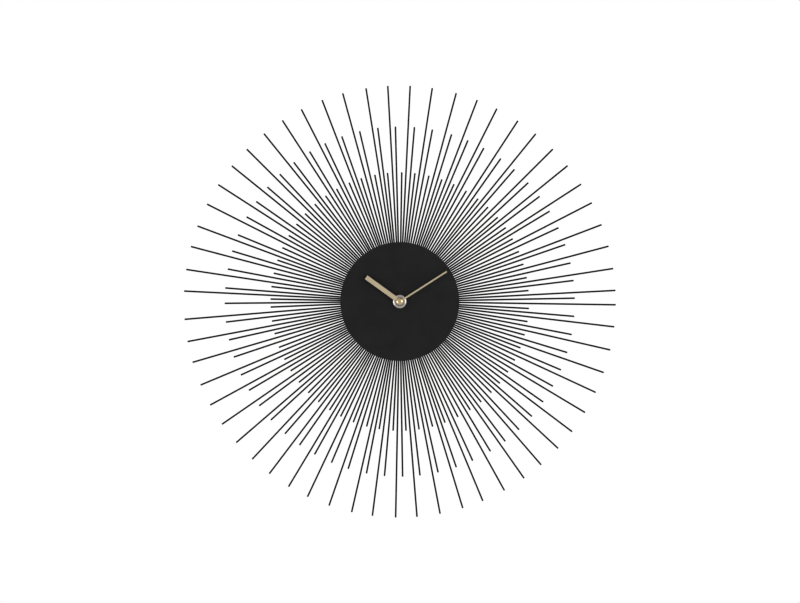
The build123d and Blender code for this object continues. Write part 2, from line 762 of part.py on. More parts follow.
def stator():
    """The stepping motor's iron: a hole for the rotor and two legs to the coil."""
    right = LEG_RIGHT - LEG_BREADTH
    left = LEG_LEFT + LEG_BREADTH
    leg_top = COIL_Y + CORE_HALF
    outline = make_face(Polyline(
        (POLE_LEFT, POLE_BOTTOM),
        (LEG_RIGHT, POLE_BOTTOM),
        (LEG_RIGHT, leg_top),
        (right, leg_top),
        (right, POLE_TOP),
        (NECK_RIGHT, POLE_TOP),
        (NECK_RIGHT, YOKE_TOP),
        (left, YOKE_TOP),
        (left, leg_top),
        (LEG_LEFT, leg_top),
        (LEG_LEFT, YOKE_BOTTOM),
        (POLE_LEFT, YOKE_BOTTOM),
        close=True,
    ))
    iron = Pos(0, 0, STATOR_LOW) * extrude(outline, STATOR_HIGH - STATOR_LOW)
    return iron - disc(ROTOR_HOLE_R, STATOR_LOW - PAST, STATOR_HIGH + PAST, ROTOR_AXIS)


def coil_core():
    """The iron bar through the coil, across the stator's legs."""
    return block(
        LEG_LEFT, LEG_RIGHT, COIL_Y - CORE_HALF, COIL_Y + CORE_HALF, STATOR_HIGH, CORE_HIGH
    )


def along_coil(radius, start, end):
    """A round bar on the coil's axis between two X values."""
    return Pos((start + end) / 2, COIL_Y, COIL_LEVEL) * Rot(0, 90, 0) * Cylinder(
        radius, end - start
    )


def coil_bobbin():
    bobbin = along_coil(BOBBIN_R, COIL_START, COIL_END)
    bobbin += along_coil(FLANGE_R, COIL_START, COIL_START + FLANGE)
    bobbin += along_coil(FLANGE_R, COIL_END - FLANGE, COIL_END)
    slot = block(
        COIL_START - PAST,
        COIL_END + PAST,
        COIL_Y - CORE_HALF - FIT_GAP,
        COIL_Y + CORE_HALF + FIT_GAP,
        STATOR_HIGH - FIT_GAP,
        CORE_HIGH + FIT_GAP,
    )
    return bobbin - slot


def coil_winding():
    """The coil's copper, wound between the bobbin's flanges."""
    start = COIL_START + FLANGE + FIT_GAP
    end = COIL_END - FLANGE - FIT_GAP
    return along_coil(WINDING_R, start, end) - along_coil(BOBBIN_R + FIT_GAP, start - PAST, end + PAST)


def contact_tabs(gap=0.0):
    """Where the contacts' tabs pass through the wall above the battery bay."""
    side = CASE_HALF_WIDTH - CASE_WALL
    tabs = []
    for edge in (-side, side - CONTACT_SHEET):
        tabs.append(block(
            edge - gap,
            edge + CONTACT_SHEET + gap,
            BAY_TOP - TAB_BELOW,
            TRAIN_BOTTOM + TAB_ABOVE,
            TAB_LOW - gap,
            TAB_HIGH + gap,
        ))
    return tabs


def contact_plate(edge):
    """The upright plate of a contact, at the end of the battery bay."""
    return block(
        edge,
        edge + CONTACT_SHEET,
        BATTERY_Y - CONTACT_BELOW,
        BAY_TOP - TAB_BELOW,
        CONTACT_LOW,
        CONTACT_HIGH,
    )


def negative_contact():
    """The left contact, with the pressed cone that touches the battery's flat end."""
    edge = -(CASE_HALF_WIDTH - CASE_WALL)
    cone_length = BATTERY_LEFT - CONE_GAP - edge - CONTACT_SHEET
    middle = edge + CONTACT_SHEET + cone_length / 2
    cone = Rot(0, 90, 0) * Cone(CONE_R, CONE_TIP_R, cone_length)
    return contact_plate(edge) + Pos(middle, BATTERY_Y, BATTERY_LEVEL) * cone + contact_tabs()[0]


def positive_contact():
    """The right contact, with the strip that brings its current to the board."""
    edge = CASE_HALF_WIDTH - CASE_WALL - CONTACT_SHEET
    strip = block(
        BOARD_RIGHT,
        edge + CONTACT_SHEET,
        TRAIN_BOTTOM + TAB_ABOVE - STRIP_SHEET,
        TRAIN_BOTTOM + TAB_ABOVE,
        TAB_LOW,
        TAB_HIGH,
    )
    return contact_plate(edge) + contact_tabs()[1] + strip


def battery():
    """An AA cell, lying across the bay with its positive end to the right."""
    length = BATTERY_RIGHT - BATTERY_LEFT
    can = Cylinder(BATTERY_R, length)
    can = fillet(can.edges().filter_by(GeomType.CIRCLE), BATTERY_EDGE_R)
    nub = Pos(0, 0, (length + NUB_LENGTH) / 2) * Cylinder(NUB_R, NUB_LENGTH)
    cell = Rot(0, 90, 0) * (can + nub)
    return Pos((BATTERY_LEFT + BATTERY_RIGHT) / 2, BATTERY_Y, BATTERY_LEVEL) * cell


# ---------------------------------------------------------------- train, from rotor to hands

def wheel(teeth, module, low, at, tooth_at):
    """A wheel of the train's usual thickness."""
    return gear(teeth, module, low, low + WHEEL_SHEET, at, tooth_at)


def rotor_pinion():
    """The rotor's moulded arbor and pinion."""
    arbor = disc(PIVOT_R, PIVOT_LOW, ARBOR_TOP, ROTOR_AXIS)
    arbor += disc(ROTOR_COLLAR_R, ROTOR_COLLAR_LOW, ROTOR_PINION_LOW, ROTOR_AXIS)
    return arbor + gear(
        ROTOR_PINION,
        ROTOR_MODULE,
        ROTOR_PINION_LOW,
        ROTOR_PINION_HIGH,
        ROTOR_AXIS,
        ROTOR_DIRECTION + 180,
    )


def rotor_magnet():
    """The rotor's ring magnet, in the stator's hole."""
    return ring(MAGNET_R, ROTOR_COLLAR_R + FIT_GAP, MAGNET_LOW, MAGNET_HIGH, ROTOR_AXIS)


def intermediate_wheel():
    """The wheel that the rotor steps, with the pinion that turns the seconds wheel."""
    arbor = disc(PIVOT_R, PIVOT_LOW, ARBOR_TOP, STEP_AXIS)
    arbor += disc(STEP_COLLAR_R, COLLAR_LOW, STEP_PINION_LOW, STEP_AXIS)
    pinion = gear(
        STEP_PINION,
        STEP_MODULE,
        STEP_PINION_LOW,
        STEP_WHEEL_LOW,
        STEP_AXIS,
        STEP_DIRECTION + 180,
    )
    wheel_tooth = meshing(STEP_WHEEL, ROTOR_DIRECTION + 180)
    return arbor + pinion + wheel(
        STEP_WHEEL, ROTOR_MODULE, STEP_WHEEL_LOW, STEP_AXIS, wheel_tooth
    )


def seconds_wheel():
    """The wheel that turns once a minute. Its arbor ends inside the minute pipe."""
    arbor = disc(PIVOT_R, PIVOT_LOW, SECONDS_WHEEL_LOW, CENTRE_AXIS)
    arbor += disc(SECONDS_COLLAR_R, SECONDS_COLLAR_LOW, SECONDS_WHEEL_LOW, CENTRE_AXIS)
    arbor += disc(SECONDS_ARBOR_R, SECONDS_PINION_LOW, SECONDS_ARBOR_HIGH, CENTRE_AXIS)
    pinion = gear(
        SECONDS_PINION,
        SECONDS_MODULE,
        SECONDS_PINION_LOW,
        SECONDS_PINION_HIGH,
        CENTRE_AXIS,
        THIRD_DIRECTION,
    )
    wheel_tooth = meshing(SECONDS_WHEEL, STEP_DIRECTION + 180)
    return arbor + pinion + wheel(
        SECONDS_WHEEL, STEP_MODULE, SECONDS_WHEEL_LOW, CENTRE_AXIS, wheel_tooth
    )


def third_wheel():
    """The wheel between the seconds wheel and the centre wheel."""
    arbor = disc(PIVOT_R, PIVOT_LOW, PIVOT_HIGH, THIRD_AXIS)
    arbor += disc(THIRD_COLLAR_R, COLLAR_LOW, THIRD_WHEEL_LOW, THIRD_AXIS)
    pinion = gear(
        THIRD_PINION,
        THIRD_MODULE,
        THIRD_PINION_LOW,
        THIRD_PINION_HIGH,
        THIRD_AXIS,
        THIRD_DIRECTION + 180,
    )
    wheel_tooth = meshing(THIRD_WHEEL, THIRD_DIRECTION)
    return arbor + pinion + wheel(
        THIRD_WHEEL, SECONDS_MODULE, THIRD_WHEEL_LOW, THIRD_AXIS, wheel_tooth
    )


def centre_wheel():
    """The wheel that turns once an hour, with the tube that drives the minute pipe."""
    wheel_tooth = meshing(CENTRE_WHEEL, THIRD_DIRECTION + 180)
    turning = wheel(CENTRE_WHEEL, THIRD_MODULE, CENTRE_WHEEL_LOW, CENTRE_AXIS, wheel_tooth)
    turning += disc(CENTRE_HUB_R, CENTRE_HUB_LOW, CENTRE_HUB_HIGH)
    turning += disc(CENTRE_TUBE_R, CENTRE_HUB_HIGH, CENTRE_TUBE_HIGH)
    return turning - disc(CENTRE_BORE_R, CENTRE_HUB_LOW - PAST, CENTRE_TUBE_HIGH + PAST)


def minute_pipe():
    """The cannon pinion: it grips the centre wheel's tube and carries the minute hand."""
    pipe = disc(MINUTE_PIPE_R, MINUTE_PIPE_LOW, MINUTE_PIPE_HIGH)
    pipe += gear(
        CANNON_PINION, MOTION_MODULE, CANNON_LOW, CANNON_HIGH, CENTRE_AXIS, MINUTE_DIRECTION
    )
    return pipe - disc(MINUTE_PIPE_BORE_R, MINUTE_PIPE_LOW - PAST, MINUTE_PIPE_HIGH + PAST)


def minute_wheel():
    """The motion work's reduction wheel and pinion."""
    arbor = disc(PIVOT_R, MID_PLATE_LOW + END_GAP, PIVOT_HIGH, MINUTE_AXIS)
    arbor += disc(MINUTE_COLLAR_R, MID_PLATE_HIGH + END_GAP, MINUTE_WHEEL_LOW, MINUTE_AXIS)
    pinion = gear(
        MINUTE_PINION,
        MOTION_MODULE,
        MINUTE_PINION_LOW,
        MINUTE_PINION_HIGH,
        MINUTE_AXIS,
        MINUTE_DIRECTION + 180,
    )
    wheel_tooth = meshing(MINUTE_WHEEL, MINUTE_DIRECTION)
    return arbor + pinion + wheel(
        MINUTE_WHEEL, MOTION_MODULE, MINUTE_WHEEL_LOW, MINUTE_AXIS, wheel_tooth
    )


def hour_wheel():
    """The wheel and pipe that carry the hour hand."""
    wheel_tooth = meshing(HOUR_WHEEL, MINUTE_DIRECTION + 180)
    turning = wheel(HOUR_WHEEL, MOTION_MODULE, HOUR_WHEEL_LOW, CENTRE_AXIS, wheel_tooth)
    turning += disc(HOUR_HUB_R, HOUR_HUB_LOW, HOUR_HUB_HIGH)
    turning += disc(HOUR_PIPE_R, HOUR_HUB_LOW, HOUR_PIPE_HIGH)
    return turning - disc(HOUR_PIPE_BORE_R, HOUR_HUB_LOW - PAST, HOUR_PIPE_HIGH + PAST)


def setting_tooth():
    """Where a tooth of the setting pinion points, with the minute wheel's tooth facing it."""
    wheel_pitch = 360 / MINUTE_WHEEL
    wheel_tooth = meshing(MINUTE_WHEEL, MINUTE_DIRECTION)
    past_tooth = (SETTING_DIRECTION - wheel_tooth) % wheel_pitch
    share = past_tooth / wheel_pitch
    pinion_pitch = 360 / SETTING_PINION
    return SETTING_DIRECTION + 180 + (share + 0.5) * pinion_pitch


def setting_pinion():
    """The pinion that turns the motion work when the time is set."""
    pinion = gear(
        SETTING_PINION,
        MOTION_MODULE,
        SETTING_PINION_LOW,
        SETTING_PINION_HIGH,
        SETTING_AXIS,
        setting_tooth(),
    )
    return pinion - disc(
        SETTING_SHAFT_R, SETTING_PINION_LOW - PAST, SETTING_PINION_HIGH + PAST, SETTING_AXIS
    )


def setting_knob():
    """The milled knob at the back, with its shaft."""
    knob = gear(KNOB_TEETH, KNOB_MODULE, KNOB_LOW, KNOB_HIGH, SETTING_AXIS, 0)
    knob += disc(SETTING_SHAFT_R, KNOB_HIGH, SETTING_SHAFT_HIGH, SETTING_AXIS)
    knob += disc(PIVOT_R, SETTING_SHAFT_HIGH, PIVOT_HIGH, SETTING_AXIS)
    return knob - ring(
        KNOB_DISH_OUTER_R, KNOB_DISH_INNER_R, KNOB_LOW - PAST, KNOB_LOW + KNOB_DISH, SETTING_AXIS
    )


# ---------------------------------------------------------------- hands and hub

def tube_washer():
    """The flat washer under the rosette nut."""
    return ring(TUBE_WASHER_R, TUBE_R + BORE_GAP, DIAL_HIGH, WASHER_HIGH)


def rosette_nut():
    """The polished round nut on the tube: a domed ring, a groove and a boss.

    The ring's dome is an arc from the top of the skirt to the crest, where it is level.
    """
    width = ROSETTE_R - ROSETTE_CREST_R
    rise = ROSETTE_CREST - ROSETTE_SKIRT
    dome_r = (width**2 + rise**2) / (2 * rise)
    half = asin(width / dome_r) / 2
    bore_r = TUBE_R + THREAD_GAP
    seat_r = TUBE_WASHER_R + HOLE_GAP
    low = DIAL_HIGH + BORE_GAP
    skirt_top = (ROSETTE_R, 0, DIAL_HIGH + ROSETTE_SKIRT)
    crest = (ROSETTE_CREST_R, 0, DIAL_HIGH + ROSETTE_CREST)
    halfway = (
        ROSETTE_CREST_R + dome_r * sin(half),
        0,
        DIAL_HIGH + ROSETTE_CREST - dome_r * (1 - cos(half)),
    )
    rest = Polyline(
        crest,
        (ROSETTE_GROOVE_R, 0, DIAL_HIGH + ROSETTE_GROOVE),
        (ROSETTE_BOSS_R, 0, DIAL_HIGH + ROSETTE_GROOVE),
        (ROSETTE_BOSS_R, 0, TUBE_HIGH - BORE_GAP),
        (bore_r, 0, TUBE_HIGH - BORE_GAP),
        (bore_r, 0, WASHER_HIGH),
        (seat_r, 0, WASHER_HIGH),
        (seat_r, 0, low),
        (ROSETTE_R, 0, low),
        skirt_top,
    )
    return revolve(make_face([ThreePointArc(skirt_top, halfway, crest), rest]), Axis.Z)


def hand(length, width, boss_r, bore_r, low, high, angle):
    """A straight square-ended hand with a round boss, pointing clockwise from the top."""
    bar = block(-width / 2, width / 2, 0, length, low, high) + disc(boss_r, low, high)
    bar = chamfer(bar.edges().group_by(Axis.Z)[-1], HAND_BEVEL)
    bar -= disc(bore_r, low - PAST, high + PAST)
    return Rot(0, 0, -angle) * bar


def hour_hand():
    """The broad hand, with the collar that grips the hour pipe."""
    bore_r = HOUR_PIPE_R + FIT_GAP
    plate = hand(
        HOUR_LENGTH, HOUR_WIDTH, HOUR_BOSS_R, bore_r, HOUR_LOW, HOUR_HIGH, HOUR_ANGLE
    )
    return plate + ring(HOUR_GRIP_R, bore_r, HOUR_LOW - HOUR_GRIP, HOUR_LOW)


def minute_hand():
    """The narrow hand, with the collar that grips the minute pipe."""
    bore_r = MINUTE_PIPE_R + FIT_GAP
    plate = hand(
        MINUTE_LENGTH,
        MINUTE_WIDTH,
        MINUTE_BOSS_R,
        bore_r,
        MINUTE_LOW,
        MINUTE_HIGH,
        MINUTE_ANGLE,
    )
    return plate + ring(MINUTE_GRIP_R, bore_r, MINUTE_LOW - MINUTE_GRIP, MINUTE_LOW)


def hand_cap():
    """The polished dome pressed on the end of the minute pipe."""
    shoulder = MINUTE_HIGH + CAP_WALL
    top = shoulder + CAP_DOME
    ball_r = (CAP_R**2 + CAP_DOME**2) / (2 * CAP_DOME)
    dome = Pos(0, 0, top - ball_r) * Sphere(ball_r)
    cap = disc(CAP_R, MINUTE_HIGH, top) & dome
    return cap - disc(MINUTE_PIPE_R + FIT_GAP, MINUTE_HIGH - PAST, MINUTE_PIPE_HIGH + END_GAP)


# ---------------------------------------------------------------- nodes

NODES = {
    "rods_long": lambda: rods("long"),
    "rods_middle": lambda: rods("middle"),
    "rods_short": lambda: rods("short"),
    "rod_plate": rod_plate,
    "rod_stop_ring": rod_stop_ring,
    "dial_disc": dial_disc,
    "dial_studs": dial_studs,
    "stud_sleeves": stud_sleeves,
    "stud_washers": stud_washers,
    "stud_nuts": stud_nuts,
    "centre_bush": centre_bush,
    "hanger_bracket": hanger_bracket,
    "wall_legs": wall_legs,
    "bracket_rivets": bracket_rivets,
    "wall_bumpers": wall_bumpers,
    "back_case": back_case,
    "front_case": front_case,
    "case_screws": case_screws,
    "mid_plate": mid_plate,
    "rubber_gasket": rubber_gasket,
    "circuit_board": circuit_board,
    "quartz_crystal": quartz_crystal,
    "driver_chip": driver_chip,
    "stator": stator,
    "coil_core": coil_core,
    "coil_bobbin": coil_bobbin,
    "coil_winding": coil_winding,
    "negative_contact": negative_contact,
    "positive_contact": positive_contact,
    "battery": battery,
    "rotor_magnet": rotor_magnet,
    "rotor_pinion": rotor_pinion,
    "intermediate_wheel": intermediate_wheel,
    "seconds_wheel": seconds_wheel,
    "third_wheel": third_wheel,
    "centre_wheel": centre_wheel,
    "minute_pipe": minute_pipe,
    "minute_wheel": minute_wheel,
    "hour_wheel": hour_wheel,
    "setting_pinion": setting_pinion,
    "setting_knob": setting_knob,
    "tube_washer": tube_washer,
    "rosette_nut": rosette_nut,
    "hour_hand": hour_hand,
    "minute_hand": minute_hand,
    "hand_cap": hand_cap,
}


def main():
    os.makedirs("parts", exist_ok=True)
    on_the_wall = Pos(0, 0, -KEYHOLE_RISE) * Rot(90, 0, 0)
    for name, make in NODES.items():
        shape = make()
        solids = shape if isinstance(shape, list) else [shape]
        stood_up = [solid for piece in solids for solid in (on_the_wall * piece).solids()]
        export_step(Compound(stood_up), f"parts/{name}.step")


main()
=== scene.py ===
import bpy
import bmesh
import json
import random
from math import asin, atan2, cos, hypot, pi, radians, sin
from mathutils import Matrix, Vector


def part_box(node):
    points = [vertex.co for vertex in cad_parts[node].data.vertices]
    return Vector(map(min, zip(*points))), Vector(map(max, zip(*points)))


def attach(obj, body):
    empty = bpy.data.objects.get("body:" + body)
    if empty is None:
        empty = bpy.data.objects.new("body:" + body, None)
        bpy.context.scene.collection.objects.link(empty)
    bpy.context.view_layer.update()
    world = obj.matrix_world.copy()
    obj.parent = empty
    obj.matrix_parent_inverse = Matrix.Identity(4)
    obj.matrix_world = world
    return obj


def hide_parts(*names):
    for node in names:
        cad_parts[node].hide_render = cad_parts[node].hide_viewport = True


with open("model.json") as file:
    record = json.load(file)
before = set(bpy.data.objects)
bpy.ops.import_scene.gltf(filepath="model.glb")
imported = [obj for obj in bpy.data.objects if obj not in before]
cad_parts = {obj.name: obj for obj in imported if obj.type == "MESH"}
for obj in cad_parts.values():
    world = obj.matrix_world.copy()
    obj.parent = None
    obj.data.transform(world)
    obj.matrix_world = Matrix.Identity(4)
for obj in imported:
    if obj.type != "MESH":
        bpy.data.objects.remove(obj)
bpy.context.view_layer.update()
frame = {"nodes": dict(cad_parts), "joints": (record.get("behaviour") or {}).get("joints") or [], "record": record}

# Sunburst wall clock. Sizes are in metres and places come from the frame: the clock faces -Y, and
# the wall is at Y = 0.
MM = 0.001
SAME_PLACE = 0.0001 * MM      # corners closer than this are one corner
CELL_NUB = 1.1 * MM           # height of the nub over the battery's shoulder

# Studio
PICTURE_SHARE = 0.5395        # share of the picture's width that the sunburst fills
CAMERA_DISTANCE = 4.0
CAMERA_ASIDE = 0.3 * MM       # how far the lens stands right of the hands' axis
CAMERA_ABOVE = 0.1 * MM       # and above it
SENSOR = 36.0
LIGHT_DISTANCE = 2.6
FLOOR_RADIUS = 1.2
FLOOR_DROP = 0.8              # how far the floor lies below the hands' axis
BACKDROP_WHITE = (1, 1, 1)
STUDIO_GREY = (0.68, 0.68, 0.69)
PRINT_GAMMA = 0.65

# Finishes that stand on more than one piece
POWDER_BLACK = (0.016, 0.016, 0.0165)
DIAL_BLACK = (0.058, 0.058, 0.0595)
CASE_BLACK = (0.022, 0.022, 0.024)
CHAMPAGNE = (0.84, 0.75, 0.56)
POLISHED_GOLD = (0.78, 0.67, 0.46)
POLISHED_NICKEL = (0.68, 0.64, 0.60)

joints = {joint["name"]: joint for joint in frame["joints"]}
AXIS = Vector(joints["minute_hand_turn"]["pos_m"])
AXIS.y = 0
KNOB = Vector(joints["setting_knob_turn"]["pos_m"])


# ---------------------------------------------------------------- places from the frame

def low(node, axis):
    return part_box(node)[0]["xyz".index(axis)]


def high(node, axis):
    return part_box(node)[1]["xyz".index(axis)]


def middle(node):
    lowest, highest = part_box(node)
    return (lowest + highest) / 2


def round_radius(node):
    """Radius of a node that is round about the hands' axis."""
    return (high(node, "x") - low(node, "x")) / 2


def rod_directions():
    """Angle of every rod about the hands' axis, from the corners of its inner end."""
    end_depth = 0.5 * MM
    past_a_rod = radians(3)
    between_rods = radians(1.5)
    directions = []
    for name in ("rods_long", "rods_middle", "rods_short"):
        corners = [corner.co for corner in frame["nodes"][name].data.vertices]
        spans = [hypot(corner.x, corner.z - AXIS.z) for corner in corners]
        inner = min(spans) + end_depth
        ends = [
            atan2(corner.z - AXIS.z, corner.x)
            for corner, span in zip(corners, spans)
            if span < inner
        ]
        start = ends[0] + past_a_rod
        ends = sorted((angle - start) % (2 * pi) for angle in ends)
        groups = [[ends[0]]]
        for previous, angle in zip(ends, ends[1:]):
            if angle - previous > between_rods:
                groups.append([])
            groups[-1].append(angle)
        directions += [start + (group[0] + group[-1]) / 2 for group in groups]
    return directions


def pointing(hand):
    """Where a hand points, in radians clockwise past the top, from the corners near its tip."""
    near_tip = 0.9
    corners = [corner.co - AXIS for corner in frame["nodes"][hand].data.vertices]
    reach = max(hypot(corner.x, corner.z) for corner in corners)
    tip = [corner for corner in corners if hypot(corner.x, corner.z) > near_tip * reach]
    return atan2(sum(corner.x for corner in tip), sum(corner.z for corner in tip))


# ---------------------------------------------------------------- material helpers

class Shader:
    """A node material being built, with its principled shader and object coordinates."""

    def __init__(self, name):
        self.material = bpy.data.materials.new(name)
        self.material.use_nodes = True
        self.tree = self.material.node_tree
        self.principled = self.tree.nodes["Principled BSDF"]
        self.coordinates = self.tree.nodes.new("ShaderNodeTexCoord").outputs["Object"]

    def add(self, kind, **settings):
        """A node, with its settings and its sockets' values by name."""
        node = self.tree.nodes.new(kind)
        for key, value in settings.items():
            if hasattr(node, key):
                setattr(node, key, value)
            else:
                node.inputs[key].default_value = value
        return node

    def link(self, output, socket):
        self.tree.links.new(output, socket)

    def set(self, **values):
        """Sets numbers and colours that are the same all over the surface."""
        for key, value in values.items():
            self.principled.inputs[key.replace("_", " ")].default_value = value

    def mapped(self, scale=(1, 1, 1), rotation=(0, 0, 0), location=(0, 0, 0), source=None):
        mapping = self.add("ShaderNodeMapping", Scale=scale, Rotation=rotation, Location=location)
        self.link(source or self.coordinates, mapping.inputs["Vector"])
        return mapping.outputs["Vector"]

    def along(self, axis):
        """One coordinate of the surface point."""
        parts = self.add("ShaderNodeSeparateXYZ")
        self.link(self.coordinates, parts.inputs["Vector"])
        return parts.outputs[axis]

    def noise(self, scale, detail=3.0, roughness=0.55, source=None):
        noise = self.add("ShaderNodeTexNoise", Scale=scale, Detail=detail, Roughness=roughness)
        self.link(source or self.coordinates, noise.inputs["Vector"])
        return noise.outputs["Fac"]

    def rings(self, scale, detail=2.0):
        """Noise that changes only with the distance from the hands' axis."""
        centred = self.mapped(scale=(1, 0, 1), location=(0, 0, -AXIS.z))
        distance = self.add("ShaderNodeVectorMath", operation="LENGTH")
        self.link(centred, distance.inputs[0])
        noise = self.add(
            "ShaderNodeTexNoise", noise_dimensions="1D", Scale=scale, Detail=detail
        )
        self.link(distance.outputs["Value"], noise.inputs["W"])
        return noise.outputs["Fac"]

    def ramp(self, value, *stops, interpolation="LINEAR"):
        """A colour ramp over (position, colour) stops."""
        ramp = self.add("ShaderNodeValToRGB")
        ramp.color_ramp.interpolation = interpolation
        elements = ramp.color_ramp.elements
        while len(elements) < len(stops):
            elements.new(0.5)
        for element, (position, colour) in zip(elements, stops):
            element.position = position
            element.color = (*colour, 1)
        self.link(value, ramp.inputs["Fac"])
        return ramp.outputs["Color"]

    def spread(self, value, start, end, source=(0.3, 0.7)):
        """The value, stretched from its source range to start..end."""
        spread = self.add("ShaderNodeMapRange")
        sockets = ("From Min", "From Max", "To Min", "To Max")
        for key, number in zip(sockets, (*source, start, end)):
            spread.inputs[key].default_value = number
        self.link(value, spread.inputs["Value"])
        return spread.outputs["Result"]

    def combine(self, operation, first, second=0):
        """Mathematics of one or two values; the second may be a number."""
        mathematics = self.add("ShaderNodeMath", operation=operation)
        self.link(first, mathematics.inputs[0])
        if isinstance(second, (int, float)):
            mathematics.inputs[1].default_value = second
        else:
            self.link(second, mathematics.inputs[1])
        return mathematics.outputs["Value"]

    def mean(self, first, second):
        return self.combine("MULTIPLY", self.combine("ADD", first, second), 0.5)

    def bump(self, height, distance, strength=1.0):
        bump = self.add("ShaderNodeBump", Strength=strength, Distance=distance)
        self.link(height, bump.inputs["Height"])
        self.link(bump.outputs["Normal"], self.principled.inputs["Normal"])

    def colour(self, output):
        self.link(output, self.principled.inputs["Base Color"])

    def rough(self, output):
        self.link(output, self.principled.inputs["Roughness"])


def tinted(colour, factor):
    return tuple(channel * factor for channel in colour)


# ---------------------------------------------------------------- materials

def powder_coat():
    """Satin black powder coat: fine orange peel and a little dust in the finish."""
    shader = Shader("powder_coat")
    tone = shader.noise(60)
    shader.colour(shader.ramp(
        tone, (0.35, tinted(POWDER_BLACK, 0.8)), (0.7, tinted(POWDER_BLACK, 1.3))
    ))
    shader.rough(shader.spread(shader.noise(400), 0.44, 0.58))
    shader.bump(shader.noise(2600, detail=2.0), 0.04 * MM, 0.5)
    shader.set(Specular_IOR_Level=0.25)
    return shader.material


def dial_lacquer():
    """Matt black lacquer on the dial, with a very fine tooth."""
    shader = Shader("dial_lacquer")
    tone = shader.noise(35)
    shader.colour(shader.ramp(
        tone, (0.3, tinted(DIAL_BLACK, 0.92)), (0.7, tinted(DIAL_BLACK, 1.08))
    ))
    shader.rough(shader.spread(shader.noise(900), 0.55, 0.66))
    shader.bump(shader.noise(6000, detail=1.0), 0.01 * MM, 0.4)
    shader.set(Specular_IOR_Level=0.16)
    return shader.material


def zinc_plate():
    """Bright zinc plate with a faint blue and yellow passivation."""
    shader = Shader("zinc_plate")
    tone = shader.noise(240, detail=2.0)
    shader.colour(shader.ramp(
        tone, (0.3, (0.50, 0.52, 0.56)), (0.5, (0.60, 0.60, 0.60)), (0.7, (0.62, 0.58, 0.50))
    ))
    shader.rough(shader.spread(shader.noise(900), 0.26, 0.40))
    shader.bump(shader.noise(1600, detail=1.0), 0.008 * MM, 0.4)
    shader.set(Metallic=1.0)
    return shader.material


def brushed_gold(name, turn):
    """Champagne anodised aluminium, brushed along a hand that points so far past the top."""
    shader = Shader(name)
    along_hand = shader.mapped(rotation=(0, -turn, 0))
    strokes = shader.mapped(scale=(9000, 9000, 160), source=along_hand)
    grain = shader.noise(1.0, detail=4.0, source=strokes)
    tone = shader.mean(grain, shader.noise(120))
    shader.colour(shader.ramp(
        tone, (0.3, tinted(CHAMPAGNE, 0.9)), (0.7, tinted(CHAMPAGNE, 1.08))
    ))
    shader.rough(shader.spread(grain, 0.30, 0.44))
    shader.bump(grain, 0.012 * MM, 0.5)
    shader.set(Metallic=1.0)
    return shader.material


def turned(name, base, roughness):
    """Metal turned on a lathe and polished, with faint rings about the hands' axis."""
    shader = Shader(name)
    marks = shader.rings(5000)
    shader.colour(shader.ramp(shader.noise(300), (0.3, tinted(base, 0.95)), (0.7, base)))
    shader.rough(shader.spread(shader.mean(marks, shader.noise(400)), roughness, roughness + 0.05))
    shader.bump(marks, 0.002 * MM, 0.3)
    shader.set(Metallic=1.0)
    return shader.material


def drawn_can():
    """The crystal's drawn and tinned can."""
    shader = Shader("crystal_can")
    shader.colour(shader.ramp(shader.noise(300), (0.3, (0.66,) * 3), (0.7, (0.70,) * 3)))
    shader.rough(shader.spread(shader.noise(1500), 0.18, 0.24))
    shader.bump(shader.noise(700), 0.004 * MM, 0.4)
    shader.set(Metallic=1.0)
    return shader.material


def rubber():
    shader = Shader("rubber")
    shader.colour(shader.ramp(shader.noise(500), (0.3, (0.012,) * 3), (0.7, (0.022,) * 3)))
    shader.rough(shader.spread(shader.noise(900), 0.7, 0.88))
    shader.bump(shader.noise(2400), 0.05 * MM, 0.5)
    shader.set(Specular_IOR_Level=0.3)
    return shader.material


def moulded(name, base, roughness, texture=0.5):
    """Moulded plastic with a spark-eroded texture."""
    shader = Shader(name)
    shader.colour(shader.ramp(shader.noise(80), (0.3, tinted(base, 0.9)), (0.7, tinted(base, 1.1))))
    shader.rough(shader.spread(shader.noise(1200), roughness - 0.06, roughness + 0.08))
    shader.bump(shader.noise(4200, detail=2.0), 0.03 * MM, texture)
    shader.set(Specular_IOR_Level=0.45)
    return shader.material


def sheet_metal(name, base, roughness):
    """Plain sheet metal with rolling marks."""
    shader = Shader(name)
    rolled = shader.noise(1.0, source=shader.mapped(scale=(60, 900, 2600)))
    shader.colour(shader.ramp(rolled, (0.3, tinted(base, 0.85)), (0.7, tinted(base, 1.1))))
    shader.rough(shader.spread(rolled, roughness - 0.06, roughness + 0.1))
    shader.bump(rolled, 0.01 * MM, 0.5)
    shader.set(Metallic=1.0)
    return shader.material


def laminate():
    """Brown paper laminate of the circuit board."""
    shader = Shader("laminate")
    fibres = shader.noise(1.0, source=shader.mapped(scale=(1500, 200, 400)))
    shader.colour(shader.ramp(fibres, (0.3, (0.17, 0.085, 0.03)), (0.7, (0.27, 0.15, 0.06))))
    shader.rough(shader.spread(fibres, 0.35, 0.5))
    shader.bump(fibres, 0.03 * MM, 0.4)
    return shader.material


def copper_winding():
    """Enamelled copper wire, laid turn by turn along X."""
    shader = Shader("copper_winding")
    wire = 0.1 * MM
    phase = shader.combine("MULTIPLY", shader.along("X"), 2 * pi / wire)
    turns = shader.combine("SINE", phase)
    shader.colour(shader.ramp(
        shader.noise(500), (0.3, (0.52, 0.19, 0.07)), (0.7, (0.68, 0.27, 0.12))
    ))
    shader.rough(shader.spread(turns, 0.2, 0.35, source=(-1, 1)))
    shader.bump(turns, 0.02 * MM, 0.6)
    shader.set(Metallic=1.0)
    return shader.material


